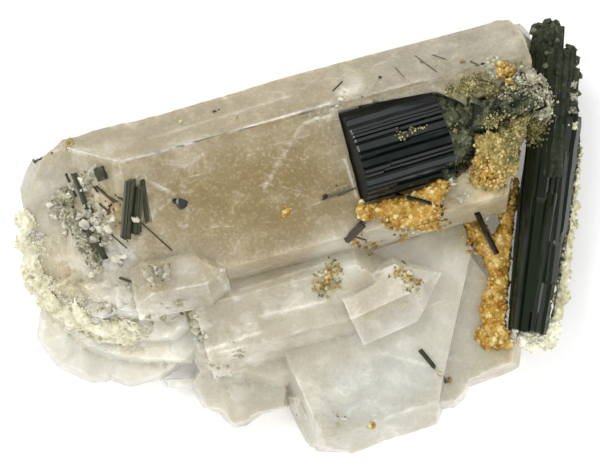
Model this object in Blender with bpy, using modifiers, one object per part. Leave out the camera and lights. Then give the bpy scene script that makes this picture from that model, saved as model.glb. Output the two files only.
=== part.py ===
"""A mineral specimen: intergrown quartz crystals with dark green elbaite prisms and yellow grain crusts.

It lies on its flat broken back. +X runs along the specimen, +Z is up, and the origin is on the surface
that it lies on, below the middle of its outline. The figures below are millimetres and degrees, and each
mesh is scaled to metres as it becomes an object.
"""

import math
import random

import bmesh
import bpy
from mathutils import Matrix, Vector
from mathutils.bvhtree import BVHTree

MM = 0.001
GAP = 0.35                  # clearance between neighbouring pieces
FAR = 300.0                 # side of the block that a crystal is cut from
RHOMB_TILT = 51.8           # angle between quartz's long axis and the normals of its end faces
SPECIMEN_SHIFT = (0.55, 0.0)  # moves the middle of the outline onto the origin

# Driving dimensions of the main quartz prism
MAIN_CENTRE = (0.0, 14.2, 15.0)
MAIN_TURN = 14.7            # heading of the long axes in plan, shared by the parallel crystals
MAIN_ROLL = -10.0           # the broad upper face leans this far towards the lower crystals
MAIN_ACROSS = (13.0, 17.3, 15.0, 16.2, 14.4, 18.6)

# Driving dimensions of the two large elbaite prisms
SHORT_PRISM_RADIUS = 9.1
SHORT_PRISM_LENGTH = 18.8
LONG_PRISM_RADIUS = 5.3
LONG_PRISM_LENGTH = 44.0
LONG_PRISM_FOOT = 0.80      # share of the radius that is left at the foot


def clear_scene():
    for obj in list(bpy.data.objects):
        bpy.data.objects.remove(obj)


def new_collection(name):
    collection = bpy.data.collections.new(name)
    bpy.context.scene.collection.children.link(collection)
    return collection


def new_material(name, colour, roughness):
    material = bpy.data.materials.new(name)
    material.use_nodes = True
    surface = material.node_tree.nodes["Principled BSDF"]
    surface.inputs["Base Color"].default_value = (*colour, 1.0)
    surface.inputs["Roughness"].default_value = roughness
    surface.inputs["Metallic"].default_value = 0.0
    return material


def add_object(name, bm, collection, material=None):
    """Turns a bmesh in millimetres into an object in metres."""
    bmesh.ops.recalc_face_normals(bm, faces=bm.faces[:])
    if bm.calc_volume(signed=True) < 0:
        bmesh.ops.reverse_faces(bm, faces=bm.faces[:])
    bm.transform(Matrix.Translation((*SPECIMEN_SHIFT, 0.0)))
    bm.transform(Matrix.Scale(MM, 4))
    mesh = bpy.data.meshes.new(name)
    bm.to_mesh(mesh)
    bm.free()
    obj = bpy.data.objects.new(name, mesh)
    collection.objects.link(obj)
    if material:
        mesh.materials.append(material)
    return obj


def cut(bm, point, normal):
    """Cuts a convex solid at a plane, drops the side that the normal points to, and closes the cut."""
    everything = bm.verts[:] + bm.edges[:] + bm.faces[:]
    made = bmesh.ops.bisect_plane(bm, geom=everything, dist=1e-5, plane_co=point, plane_no=normal,
                                  clear_outer=True)
    rim = [edge for edge in made["geom_cut"] if isinstance(edge, bmesh.types.BMEdge)]
    if rim:
        bmesh.ops.contextual_create(bm, geom=rim)


def placed(bm, centre, turn, rise):
    """Turns a crystal's long axis from +X to its heading and rise, and moves it to its centre."""
    bm.transform(Matrix.Rotation(-math.radians(rise), 4, "Y"))
    bm.transform(Matrix.Rotation(math.radians(turn), 4, "Z"))
    bm.transform(Matrix.Translation(centre))
    return bm


def quartz_crystal(centre, turn, rise, roll, across, ends, tail=(), head=(), chips=()):
    """A quartz crystal cut from a block by its own faces.

    across holds the distances of the six prism faces from the axis, starting at the upper one. ends are the
    flat ends, tail first. tail and head list sloping end faces as (prism face below it, distance). chips
    are further planes as (normal along, across and up, distance).
    """
    bm = bmesh.new()
    bmesh.ops.create_cube(bm, size=FAR)
    planes = [(Vector((-1, 0, 0)), ends[0]), (Vector((1, 0, 0)), ends[1])]
    tilt = math.radians(RHOMB_TILT)
    sides = []
    for face, distance in enumerate(across):
        angle = math.radians(roll + 60 * face)
        sides.append(Vector((0, math.sin(angle), math.cos(angle))))
        planes.append((sides[face], distance))
    for way, faces in ((-1, tail), (1, head)):
        for face, distance in faces:
            planes.append((sides[face] * math.sin(tilt) + Vector((way * math.cos(tilt), 0, 0)), distance))
    planes += [(Vector(normal).normalized(), distance) for normal, distance in chips]
    for normal, distance in planes:
        cut(bm, normal * distance, normal)
    return placed(bm, centre, turn, rise)


def quartz_plate(outline, low, waist, high, slope=1.0, lean=(0.0, 0.0)):
    """A flat crystal or broken flake: an outline at waist height whose rim slopes in to the faces above
    and below. lean is the upper face's rise along X and Y."""
    middle = sum((Vector(corner) for corner in outline), Vector((0, 0))) / len(outline)
    bm = bmesh.new()
    rings = []
    for height, leans in ((low, (0.0, 0.0)), (waist, (0.0, 0.0)), (high, lean)):
        ring = []
        for corner in outline:
            inward = (middle - Vector(corner)).normalized() * slope * abs(height - waist)
            spot = Vector(corner) + inward - middle
            ring.append(bm.verts.new((*(spot + middle), height + leans[0] * spot.x + leans[1] * spot.y)))
        rings.append(ring)
    bm.faces.new(rings[0])
    bm.faces.new(rings[2])
    for below, above in zip(rings, rings[1:]):
        for index in range(len(outline)):
            bm.faces.new((below[index - 1], below[index], above[index], above[index - 1]))
    bmesh.ops.triangulate(bm, faces=bm.faces[:])
    return bm


def elbaite_prism(start, end, radius, ridges, seed, taper=(), roll=0.0, room=0.0):
    """A striated elbaite prism from start to end: a rounded triangle in section, with flat ridges of
    differing height along its length, or plain corners if there are six or fewer. taper lists (distance
    past the end, share of the radius). With room, it is a smooth shape that clears the prism by that much."""
    rng = random.Random(seed)
    start, end = Vector(start), Vector(end)
    axis = end - start
    heights = [rng.uniform(-0.06, 0.06) for _ in range(ridges)]
    if room:
        radius = 1.06 * radius + room / math.cos(math.pi / ridges)
        start = start - axis.normalized() * room
        axis = end - start + axis.normalized() * room
        heights = [0.0] * ridges
    ridged = ridges > 6 and not room
    section = []
    for index in range(2 * ridges if ridged else ridges):
        ridge, side = divmod(index, 2) if ridged else (index, 0)
        angle = 2 * math.pi * (ridge + 0.9 * side) / ridges
        reach = radius * (1 + 0.05 * math.cos(3 * angle) + heights[ridge])
        section.append(Vector((reach * math.cos(angle), reach * math.sin(angle), 0)))
    bm = bmesh.new()
    steps = [(0.0, 1.0), (axis.length, 1.0)] + [(axis.length + past, share) for past, share in taper]
    rings = [[bm.verts.new(corner * share + Vector((0, 0, height))) for corner in section]
             for height, share in steps]
    bm.faces.new(rings[0])
    bm.faces.new(rings[-1])
    for below, above in zip(rings, rings[1:]):
        for index in range(len(section)):
            bm.faces.new((below[index - 1], below[index], above[index], above[index - 1]))
    bm.transform(Matrix.Rotation(math.radians(roll), 4, "Z"))
    bm.transform(axis.to_track_quat("Z", "Y").to_matrix().to_4x4())
    bm.transform(Matrix.Translation(start))
    return bm


def elbaite_piece(name, prisms, collection, helpers, material):
    """One or more prisms grown into each other, and the room that they take up in what they stand in."""
    made = []
    for room, owner, dress in ((0.0, collection, material), (GAP, helpers, None)):
        whole = None
        for number, (ends, radius, ridges, seed, options) in enumerate(prisms):
            bm = elbaite_prism(*ends, radius, ridges, seed, room=room, **options)
            suffix = "_room" if room else ""
            if whole is None:
                whole = add_object(name + suffix, bm, owner, dress)
            else:
                combine(whole, add_object(f"{name}{suffix}_{number}", bm, helpers), "UNION")
        keep_main_body(whole)
        made.append(whole)
    return made


def grown(obj, collection, by=GAP):
    """A helper copy whose faces stand out by the clearance, for cutting a neighbour back."""
    bm = bmesh.new()
    bm.from_mesh(obj.data)
    bm.normal_update()
    shifts = [vert.normal * min(vert.calc_shell_factor(), 2.0) * by * MM for vert in bm.verts]
    for vert, shift in zip(bm.verts, shifts):
        vert.co += shift
    mesh = bpy.data.meshes.new(obj.name + "_room")
    bm.to_mesh(mesh)
    bm.free()
    copy = bpy.data.objects.new(mesh.name, mesh)
    collection.objects.link(copy)
    return copy


def combine(target, other, operation):
    """Applies one exact Boolean to target's mesh."""
    modifier = target.modifiers.new("combine", "BOOLEAN")
    modifier.operation = operation
    modifier.solver = "EXACT"
    modifier.object = other
    bake(target)


def bake(obj):
    """Replaces an object's mesh by what its modifiers make of it."""
    bpy.context.view_layer.update()
    graph = bpy.context.evaluated_depsgraph_get()
    old = obj.data
    mesh = bpy.data.meshes.new_from_object(obj.evaluated_get(graph))
    obj.modifiers.clear()
    obj.data = mesh
    bpy.data.meshes.remove(old)
    mesh.name = obj.name


def spread(verts):
    """The volume of the box round some points, which tells a crumb from the body that it came off."""
    sides = [max(vert.co[axis] for vert in verts) - min(vert.co[axis] for vert in verts) for axis in range(3)]
    return sides[0] * sides[1] * sides[2]


def keep_main_body(obj, merge=0.004):
    """Joins points that all but meet, and drops crumbs that a Boolean has cut loose."""
    bm = bmesh.new()
    bm.from_mesh(obj.data)
    bmesh.ops.remove_doubles(bm, verts=bm.verts[:], dist=merge * MM)
    bmesh.ops.dissolve_degenerate(bm, edges=bm.edges[:], dist=merge * MM)
    left, bodies = set(bm.verts), []
    while left:
        reached, edge_of_search = set(), [next(iter(left))]
        while edge_of_search:
            vert = edge_of_search.pop()
            if vert not in reached:
                reached.add(vert)
                edge_of_search += [edge.other_vert(vert) for edge in vert.link_edges]
        bodies.append(reached)
        left -= reached
    bodies.sort(key=spread)
    bmesh.ops.delete(bm, geom=[vert for body in bodies[:-1] for vert in body], context="VERTS")
    bm.to_mesh(obj.data)
    bm.free()


def height_at(tree, x, y):
    """Height of the quartz surface at a point of the plan, in millimetres."""
    shifted = Vector((x + SPECIMEN_SHIFT[0], y + SPECIMEN_SHIFT[1], FAR)) * MM
    hit = tree.ray_cast(shifted, Vector((0, 0, -1)))[0]
    return hit.z / MM if hit else 0.0


def grain_crust(name, spots, grain, seed, tree, collection, material, rooms, faces=420, sink=0.25):
    """A crust of grains fused in one piece. spots are (x, y, reach, grains, height), where a height of
    None lays the grains on the quartz, and a row of grains links each spot to the next. rooms are the
    grown neighbours that it is cut back from."""
    rng = random.Random(seed)
    middles = []
    for number, (x, y, reach, grains, height) in enumerate(spots):
        for _ in range(grains):
            angle, out = rng.uniform(0, 2 * math.pi), reach * math.sqrt(rng.random())
            middles.append((x + out * math.cos(angle), y + out * math.sin(angle), height))
        before = Vector(spots[max(number - 1, 0)][:2])
        steps = int((Vector((x, y)) - before).length / (0.7 * grain)) + 1
        for step in range(steps):
            middles.append((*before.lerp(Vector((x, y)), step / steps), height))
    bm = bmesh.new()
    for x, y, height in middles:
        size = grain * rng.uniform(0.65, 1.25)
        lift = rng.uniform(-0.7, 0.7) * grain
        z = (height_at(tree, x, y) + size * sink) if height is None else height + lift
        made = bmesh.ops.create_icosphere(bm, subdivisions=2, radius=size)
        bmesh.ops.scale(bm, vec=(1.0, rng.uniform(0.75, 1.2), rng.uniform(0.75, 1.1)), verts=made["verts"])
        bmesh.ops.translate(bm, vec=(x, y, z), verts=made["verts"])
    obj = add_object(name, bm, collection, material)
    remesh = obj.modifiers.new("fuse", "REMESH")
    remesh.mode = "VOXEL"
    remesh.voxel_size = grain * 0.32 * MM
    bake(obj)
    keep_main_body(obj)
    thin = obj.modifiers.new("thin", "DECIMATE")
    thin.ratio = min(1.0, faces / (2 * max(1, len(obj.data.polygons))))
    bake(obj)
    for room in rooms:
        combine(obj, room, "DIFFERENCE")
    keep_main_body(obj)
    return obj


# The quartz crystals. Each spot in plan is (x, y) from the middle of the picture plane.
def main_crystal():
    return quartz_crystal(
        MAIN_CENTRE, MAIN_TURN, 0.0, MAIN_ROLL, MAIN_ACROSS, ends=(60.0, 50.0),
        tail=((0, 31.8), (1, 41.4), (2, 39.6), (5, 48.5), (4, 46.0)),
        head=((1, 44.6), (5, 44.0)),
        chips=(((-0.981, 0.194, 0.0), 56.7), ((0.905, -0.426, 0.05), 42.3), ((0.75, 0.3, 0.6), 49.5),
               ((0.932, 0.361, 0.0), 50.1), ((0.5, 0.866, 0.0), 38.2)),
    )


def ledge_crystal():
    """The crystal along the main prism's lower side, with its point to the right."""
    return quartz_crystal((0.0, -12.8, 12.0), MAIN_TURN, 1.0, -4.0, (10.0, 9.2, 9.0, 11.0, 9.0, 9.6),
                          ends=(20.5, 24.0), head=((0, 17.5), (1, 15.2), (2, 15.0), (4, 16.5), (5, 16.8)))


def point_crystal():
    """The small bright crystal beyond the ledge crystal's point."""
    return quartz_crystal((17.8, -11.8, 16.6), 24.0, 3.0, 18.0, (6.6, 6.4, 6.0, 9.0, 6.4, 6.2),
                          ends=(8.5, 12.0), head=((0, 8.6), (1, 7.4), (2, 7.0), (5, 8.0), (4, 7.0)))


def corner_crystal():
    """The clear crystal that stands out of the lower left of the main prism."""
    return quartz_crystal((-23.4, -7.4, 20.0), 10.0, 4.0, 4.0, (8.3, 6.3, 6.0, 10.0, 6.0, 7.0),
                          ends=(10.0, 9.0), head=((1, 7.2), (0, 10.4), (5, 8.6)), tail=((1, 9.5), (0, 10.0)))


def broad_plate():
    """The large milky plate below the ledge crystal."""
    return quartz_crystal((13.5, -21.5, 6.0), 19.0, 0.0, 2.0, (9.6, 19.5, 17.0, 8.0, 15.8, 18.2),
                          ends=(19.1, 26.0), chips=(((-0.533, -0.846, 0.10), 22.1), ((0.85, -0.52, 0.12), 17.3),
                                                    ((-0.97, -0.10, 0.22), 17.6)))


PLATES = (
    # outline, low, waist, high, slope, lean
    # right-hand plate, under the foot of the long prism
    (((24, 2), (31, 2.6), (34.5, -2.4), (39.5, -8), (41.0, -16), (44.4, -22), (43.8, -26), (40, -27.6),
      (34, -30.2), (33, -32.6), (31, -34.2), (24, -35.2), (18, -28)), -1.4, 5.0, 13.0, 0.22, (-0.04, 0.03)),
    # lower step of the broad plate
    (((8, -43), (3.6, -42.8), (1.4, -41), (-1.6, -35.4), (-3, -32), (4, -26), (22, -24), (27, -33),
      (26.2, -37.4)), 1.2, 4.0, 11.5, 0.35, (0.02, 0.05)),
    # pointed flake below the left of the broad plate
    (((-22, -29), (-19.2, -34.2), (-16.2, -35.2), (-13.4, -38.6), (-10.8, -38), (-7.8, -35.8), (-2.4, -34.2),
      (-2, -30), (-10, -24), (-20, -25)), -1.6, 2.5, 7.5, 0.2, (0.03, 0.04)),
    # thin sliver at its left end
    (((-27.6, -28.6), (-26.6, -30.2), (-23.6, -30.2), (-19, -30.2), (-19, -28.6), (-24.6, -28.6)),
     2.0, 3.6, 5.0, 0.3, (0.0, 0.0)),
    # step between the ledge crystal and the flake
    (((-24, -20), (-20, -27.5), (-12, -29), (-4, -31), (4, -26), (6, -19), (-4, -14), (-18, -13)),
     -1.9, 6.0, 12.5, 0.4, (0.03, 0.05)),
    # small chip crystal on that step
    (((-19.4, -24.8), (-17.6, -26.6), (-13.9, -28.1), (-12, -25.8), (-12.6, -24), (-15.5, -22.4)),
     6.0, 11.0, 14.2, 0.35, (0.05, 0.06)),
    # low pale flake at the far left
    (((-53, -20.4), (-48.8, -25.8), (-42.8, -28.4), (-38, -28.4), (-34.2, -30.2), (-28, -28.8),
      (-24.8, -26.8), (-20, -22), (-28, -14), (-44, -12), (-52, -14.4), (-52.6, -16.4)),
     -2.2, 2.0, 6.5, 0.3, (0.05, 0.06)),
    # stepped cream ledges between the main prism's left end and the flake
    (((-54, -10.6), (-51, -15), (-48, -18.6), (-44.8, -22.4), (-40, -24.8), (-34, -26.2), (-27, -26),
      (-21.4, -25.6), (-18.8, -22.6), (-18.6, -16), (-26, -10), (-46, -6)), -2.5, 4.0, 10.5, 0.35,
     (0.05, 0.12)),
    (((-52.4, -9.4), (-49.4, -13.6), (-45.2, -17.8), (-39, -20.8), (-31, -22), (-24, -21.4), (-19.6, -18),
      (-20.4, -12), (-30, -8), (-46, -4)), 3.0, 8.0, 15.0, 0.45, (0.08, 0.16)),
    (((-46, -9), (-41.5, -14.6), (-34, -17.6), (-25, -17.4), (-20.6, -13.6), (-22.6, -9), (-34, -5)),
     8.0, 13.5, 19.5, 0.5, (0.10, 0.16)),
    # broken mass that fills the hollow below the main prism
    (((-40, -15), (-20, -21), (0, -21), (20, -16), (34, -7), (35.5, 3), (31, 13), (0, 8), (-22, 1), (-41, -7)),
     -1.3, 4.0, 9.0, 0.2, (0.0, 0.0)),
    # broken upper left shoulder and right-hand stub of the main prism
    (((-55.6, 9.4), (-56.4, 4), (-55.4, -3), (-50, -4), (-44, 12), (-49, 16.4), (-53, 14.4)),
     2.0, 8.0, 13.0, 0.4, (0.10, 0.02)),
    (((42, 20), (45.6, 21), (46.8, 30), (46.4, 38), (43.8, 41.6), (38, 40), (36, 26)), 4.0, 12.0, 22.0, 0.3,
     (-0.05, 0.0)),
)


def quartz_cluster(collection, helpers, material):
    """All the quartz, grown together in one solid, with pockets for what stands in it. It returns the
    cluster, and the same grown by the clearance."""
    makers = (ledge_crystal, point_crystal, corner_crystal, broad_plate)
    bodies = [make() for make in makers] + [quartz_plate(*plate) for plate in PLATES]
    cluster = add_object("quartz_cluster", main_crystal(), collection, material)
    wide = grown(cluster, helpers)
    for number, body in enumerate(bodies):
        helper = add_object(f"quartz_body_{number}", body, helpers)
        combine(cluster, helper, "UNION")
        combine(wide, grown(helper, helpers), "UNION")
    below = bmesh.new()
    bmesh.ops.create_cube(below, size=FAR)
    bmesh.ops.translate(below, vec=(0, 0, -FAR / 2), verts=below.verts[:])
    combine(cluster, add_object("floor_cutter", below, helpers), "DIFFERENCE")
    keep_main_body(cluster)
    return cluster, wide


def surface_tree(obj):
    bm = bmesh.new()
    bm.from_mesh(obj.data)
    tree = BVHTree.FromBMesh(bm)
    bm.free()
    return tree


def large_prisms(collection, helpers, material):
    """The short prism out of the main face, and the long prisms across the right end."""
    turn, rise = math.radians(16.7), math.radians(-11.0)
    way = Vector((math.cos(rise) * math.cos(turn), math.cos(rise) * math.sin(turn), math.sin(rise)))
    left_end = Vector((10.2, 15.4, 27.0))
    foot = Vector((45.4, -18.9, 13.6))
    up_plan = Vector((0.13, 0.99, 0.012)).normalized()
    short = [((left_end, left_end + way * SHORT_PRISM_LENGTH), SHORT_PRISM_RADIUS, 19, 4,
              {"taper": ((4.5, 0.80), (9.5, 0.42)), "roll": 20.0})]
    long = [
        ((foot + up_plan * LONG_PRISM_LENGTH, foot + up_plan * 0.5 * LONG_PRISM_LENGTH), LONG_PRISM_RADIUS,
         13, 11, {"taper": ((0.5 * LONG_PRISM_LENGTH, LONG_PRISM_FOOT),), "roll": 10.0}),
        (((49.2, 0.0, 12.4), (53.6, 34.6, 13.0)), 3.0, 8, 12, {}),
        (((49.4, 12.0, 15.2), (51.2, 38.2, 15.0)), 4.3, 9, 13, {}),
        (((46.8, 29.0, 14.0), (50.4, 43.2, 13.6)), 3.3, 5, 14, {"roll": 30.0}),
        (((51.0, 25.6, 15.4), (55.8, 26.4, 15.6)), 1.5, 5, 15, {}),
        (((49.6, 33.0, 13.4), (50.6, 43.0, 13.2)), 3.4, 4, 16, {"roll": 40.0}),
    ]
    return [elbaite_piece("elbaite_short_prism", short, collection, helpers, material),
            elbaite_piece("elbaite_long_prism", long, collection, helpers, material)]


# name, then for each prism its two ends in plan, their heights over the quartz, radius, corners and seed
SMALL_PRISMS = (
    ("elbaite_left_pair", ((((-33.8, 11.4), (-32.8, -0.6)), (1.6, 1.2), 1.15, 6, 21),
                           (((-31.6, 11.2), (-30.2, 3.0)), (1.0, 0.6), 0.75, 5, 22))),
    ("elbaite_left_blade", ((((-42.8, 3.6), (-39.4, -4.6)), (1.0, 1.2), 1.0, 5, 23),)),
    ("elbaite_left_block", ((((-40.2, 14.0), (-39.2, 11.2)), (0.9, 1.2), 1.35, 4, 24),)),
    ("elbaite_left_rod", ((((-45.4, 12.6), (-42.2, 5.6)), (0.5, 0.9), 0.5, 5, 25),)),
    ("black_crystal", ((((-24.8, 7.0), (-22.6, 6.4)), (0.3, 0.5), 1.3, 6, 26),)),
    ("elbaite_edge_stub", ((((9.2, -0.9), (12.4, 2.2)), (0.9, 0.5), 0.75, 6, 27),)),
    ("elbaite_side_rod", ((((4.4, 7.9), (9.6, 9.6)), (0.2, 0.3), 0.5, 5, 28),)),
    ("elbaite_upper_rod", ((((16.0, 32.2), (15.0, 26.2)), (0.2, 0.6), 0.42, 5, 29),)),
    ("elbaite_plate_needle", ((((24.6, -23.2), (29.4, -29.4)), (0.15, 0.1), 0.5, 5, 30),)),
    ("elbaite_end_blocks", ((((33.4, 24.4), (39.6, 24.0)), (0.6, 0.6), 3.4, 6, 31),
                            (((37.0, 24.8), (42.6, 26.4)), (0.4, 1.6), 2.9, 5, 32),
                            (((41.4, 26.2), (47.6, 28.6)), (2.4, 9.0), 3.1, 6, 33),
                            (((40.4, 29.6), (44.4, 31.6)), (1.8, 3.0), 1.7, 5, 34))),
)


def small_prisms(tree, collection, helpers, material):
    """The small prisms lying on or sunk in the quartz, and the blocks at its right end."""
    pieces = []
    for name, prisms in SMALL_PRISMS:
        placed_prisms = []
        for spots, above, radius, corners, seed in prisms:
            near, far = [Vector((*spot, height_at(tree, *spot) + lift)) for spot, lift in zip(spots, above)]
            far.z = max(far.z, near.z - 0.6 * (far - near).xy.length)
            placed_prisms.append(((near, far), radius, corners, seed, {"roll": 15.0 * corners}))
        pieces.append(elbaite_piece(name, placed_prisms, collection, helpers, material))
    return pieces


# name, material, spots as (x, y, reach, grains, height over the floor or None on the quartz), grain, seed
CRUSTS = (
    ("crust_under_prism", "orange", 1.5, 41, 520,
     ((13.2, 5.6, 1.2, 5, None), (16.6, 6.0, 2.0, 8, None), (20.6, 4.8, 2.0, 12, None), (24.4, 4.4, 2.4, 14, None),
      (26.0, 6.6, 1.6, 7, None), (28.0, 9.6, 1.4, 6, None), (24.6, 8.4, 1.6, 6, None))),
    ("crust_end_yellow", "yellow", 1.5, 42, 620,
     ((36.4, 17.0, 3.0, 14, None), (40.0, 19.6, 2.6, 12, None), (43.6, 21.6, 2.4, 12, None),
      (37.4, 12.6, 2.4, 12, None), (40.4, 14.4, 2.0, 10, None), (33.8, 19.4, 1.4, 4, None))),
    ("crust_end_ridge", "cream", 1.4, 43, 560,
     ((39.4, 33.4, 1.6, 8, None), (42.6, 32.8, 1.8, 9, None), (45.2, 31.4, 1.6, 8, 29.4), (47.2, 30.0, 1.2, 7, 28.0),
      (48.0, 27.6, 1.0, 6, 27.0), (48.2, 25.6, 1.0, 5, 26.5))),
    ("crust_orange_bridge", "orange", 1.4, 44, 980,
     ((33.0, 3.0, 1.4, 8, 13.5), (35.0, 1.0, 1.6, 9, 13.5), (37.2, -1.2, 1.6, 9, 13.5), (38.8, -3.6, 1.5, 9, 13.5),
      (41.6, 4.6, 1.0, 7, 13.5), (41.8, 1.6, 1.1, 7, 13.5), (40.8, -1.4, 1.3, 7, 13.5), (39.6, -6.0, 1.2, 8, 13.8),
      (39.4, -9.0, 1.1, 7, 13.8), (39.0, -11.8, 1.3, 8, 13.8), (38.6, -14.6, 1.4, 9, 13.8),
      (38.4, -17.6, 1.5, 9, 13.4), (37.6, -19.8, 1.5, 8, 13.2), (40.4, -21.0, 1.5, 8, 12.0),
      (42.8, 7.0, 0.9, 5, 13.0), (43.2, 9.6, 1.0, 5, 12.6))),
    ("crust_foot", "cream", 1.4, 45, 520,
     ((45.2, -22.0, 1.2, 9, 11.0), (47.2, -22.0, 1.4, 9, 11.0), (49.4, -21.4, 1.4, 10, 11.0),
      (50.8, -20.6, 1.2, 9, 11.4), (50.4, -22.4, 1.2, 6, 9.0))),
    ("crust_right_side", "cream", 1.3, 46, 760,
     ((51.6, -15.6, 1.0, 6, 12.0), (52.4, -12.0, 1.0, 6, 11.6), (52.8, -8.6, 1.0, 6, 11.6), (53.2, -5.0, 0.9, 5, 11.4),
      (53.4, -1.6, 0.9, 5, 11.4), (54.0, 2.0, 0.9, 5, 11.4), (54.4, 5.8, 0.9, 5, 11.4), (54.6, 9.6, 0.9, 5, 11.4),
      (54.8, 13.4, 0.9, 5, 11.6), (55.0, 17.2, 0.9, 5, 12.0), (55.0, 20.8, 0.9, 5, 12.4))),
    ("crust_left_rim", "cream", 1.7, 47, 900,
     ((-54.8, 3.4, 1.2, 7, None), (-54.6, -1.0, 1.4, 8, None), (-53.8, -5.2, 1.6, 9, None),
      (-52.4, -9.4, 1.7, 10, None), (-49.8, -12.8, 1.8, 10, None), (-46.6, -15.6, 2.0, 10, None),
      (-42.6, -17.4, 2.2, 10, None), (-38.4, -18.6, 2.0, 9, None), (-34.6, -19.0, 1.8, 8, None))),
    ("crust_left_hollow", "cream", 1.2, 48, 620,
     ((-44.6, 1.6, 1.2, 6, None), (-43.4, -1.6, 1.3, 7, None), (-40.6, 1.6, 1.6, 9, None), (-39.4, -1.2, 1.4, 7, None),
      (-41.4, -4.4, 1.2, 6, None), (-46.4, 5.0, 1.3, 7, None), (-47.2, 8.0, 1.2, 6, None))),
)


def main():
    clear_scene()
    parts, helpers = new_collection("quartz_with_elbaite"), new_collection("helpers")
    helpers.hide_render = True
    quartz = new_material("quartz", (0.80, 0.76, 0.70), 0.25)
    elbaite = new_material("elbaite", (0.012, 0.022, 0.018), 0.22)
    crusts = {
        "orange": new_material("crust_orange", (0.70, 0.36, 0.06), 0.55),
        "yellow": new_material("crust_yellow", (0.62, 0.46, 0.14), 0.55),
        "cream": new_material("crust_cream", (0.70, 0.66, 0.48), 0.60),
    }
    cluster, wide = quartz_cluster(parts, helpers, quartz)
    tree = surface_tree(cluster)
    large = large_prisms(parts, helpers, elbaite)
    small = small_prisms(tree, parts, helpers, elbaite)
    rooms = [room for _, room in large + small]
    for _, room in large:
        combine(small[-1][0], room, "DIFFERENCE")
    keep_main_body(small[-1][0])
    for room in rooms:
        combine(cluster, room, "DIFFERENCE")
    keep_main_body(cluster)
    for name, tone, grain, seed, faces, spots in CRUSTS:
        grain_crust(name, spots, grain, seed, tree, parts, crusts[tone], [wide, *rooms], faces)


main()
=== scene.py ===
import math
import random

import bmesh
import bpy
from mathutils import Euler, Matrix, Vector, noise
from mathutils.bvhtree import BVHTree


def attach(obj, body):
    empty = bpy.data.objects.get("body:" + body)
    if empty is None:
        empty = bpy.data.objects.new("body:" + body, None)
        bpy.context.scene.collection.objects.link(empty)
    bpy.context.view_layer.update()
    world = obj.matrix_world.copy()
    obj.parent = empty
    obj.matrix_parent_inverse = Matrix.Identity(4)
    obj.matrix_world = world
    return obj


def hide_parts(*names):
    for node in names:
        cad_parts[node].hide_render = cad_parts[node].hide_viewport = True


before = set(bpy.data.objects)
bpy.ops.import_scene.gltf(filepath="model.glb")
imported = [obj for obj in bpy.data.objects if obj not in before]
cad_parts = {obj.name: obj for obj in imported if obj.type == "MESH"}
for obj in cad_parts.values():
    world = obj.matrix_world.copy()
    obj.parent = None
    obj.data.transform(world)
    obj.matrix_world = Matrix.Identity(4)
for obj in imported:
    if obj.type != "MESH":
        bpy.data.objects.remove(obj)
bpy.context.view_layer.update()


# The quartz: one intergrown mass of a long smoky prism and paler crystals, plates and flakes against its
# lower side. It is natural rock crystal, milky inside, with flat growth faces, a few chipped edges, and
# broken, stepped ground where it was pulled from the rock and round the hollow at its left end.
MM = 0.001
PIXEL = 0.2 * MM                # the photograph's scale on the specimen
PICTURE_WIDTH = 600             # in pixels
MIDDLE_U, MIDDLE_V = 300, 237   # the pixel in the middle of the picture
SHIFT = 0.55 * MM               # from the picture's middle to the middle of the outline
AXIS_TURN = math.radians(14.7)  # heading of the quartz's long axes in plan
POCKET_WALL = 0.9 * MM          # a pocket's walls are nearer than this to the crystal that stands in it
SHORTEST_SPLIT = 0.35 * MM      # an edge shorter than this is left whole
QUARTZ_IOR = 1.544


def in_plan(u, v):
    """The place in plan of a pixel of the photograph."""
    return Vector(((u - MIDDLE_U) * PIXEL + SHIFT, (MIDDLE_V - v) * PIXEL))


def fine_copy(node, longest, grown_in=()):
    """The node's mesh as one closed bmesh, its faces split until no edge is longer than longest(middle).

    grown_in names the nodes that stand in pockets of this one: the pockets' walls are taken out and closed over.
    """
    bm = bmesh.new()
    bm.from_mesh(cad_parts[node].data)
    bmesh.ops.remove_doubles(bm, verts=bm.verts[:], dist=0.002 * MM)
    bmesh.ops.dissolve_limit(bm, angle_limit=math.radians(0.3), verts=bm.verts[:], edges=bm.edges[:])
    for name in grown_in:
        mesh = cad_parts[name].data
        tree = BVHTree.FromPolygons([vert.co for vert in mesh.vertices], [face.vertices for face in mesh.polygons])
        walls = [face for face in bm.faces
                 if all(tree.find_nearest(vert.co, POCKET_WALL)[0] is not None for vert in face.verts)]
        bmesh.ops.delete(bm, geom=walls, context="FACES")
    if grown_in:
        bmesh.ops.delete(bm, geom=[edge for edge in bm.edges if not edge.link_faces], context="EDGES")
        bmesh.ops.delete(bm, geom=[vert for vert in bm.verts if not vert.link_faces], context="VERTS")
        bmesh.ops.holes_fill(bm, edges=[edge for edge in bm.edges if edge.is_boundary])
    bmesh.ops.triangulate(bm, faces=bm.faces[:])
    for _ in range(10):
        long_edges = [edge for edge in bm.edges if edge.calc_length() > SHORTEST_SPLIT
                      and edge.calc_length() > longest((edge.verts[0].co + edge.verts[1].co) / 2)]
        if not long_edges:
            break
        bmesh.ops.subdivide_edges(bm, edges=long_edges, cuts=1, use_grid_fill=True)
        bmesh.ops.triangulate(bm, faces=[face for face in bm.faces if len(face.verts) > 3])
    bm.normal_update()
    return bm


def finish_piece(name, bm, sharp_degrees=None):
    """Turns a bmesh into an object, smooth except across edges sharper than that, or flat if None."""
    mesh = bpy.data.meshes.new(name)
    bm.to_mesh(mesh)
    bm.free()
    mesh.validate(clean_customdata=False)
    if sharp_degrees is not None:
        mesh.shade_smooth()
        mesh.set_sharp_from_angle(angle=math.radians(sharp_degrees))
    piece = bpy.data.objects.new(name, mesh)
    bpy.context.scene.collection.objects.link(piece)
    return piece


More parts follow.
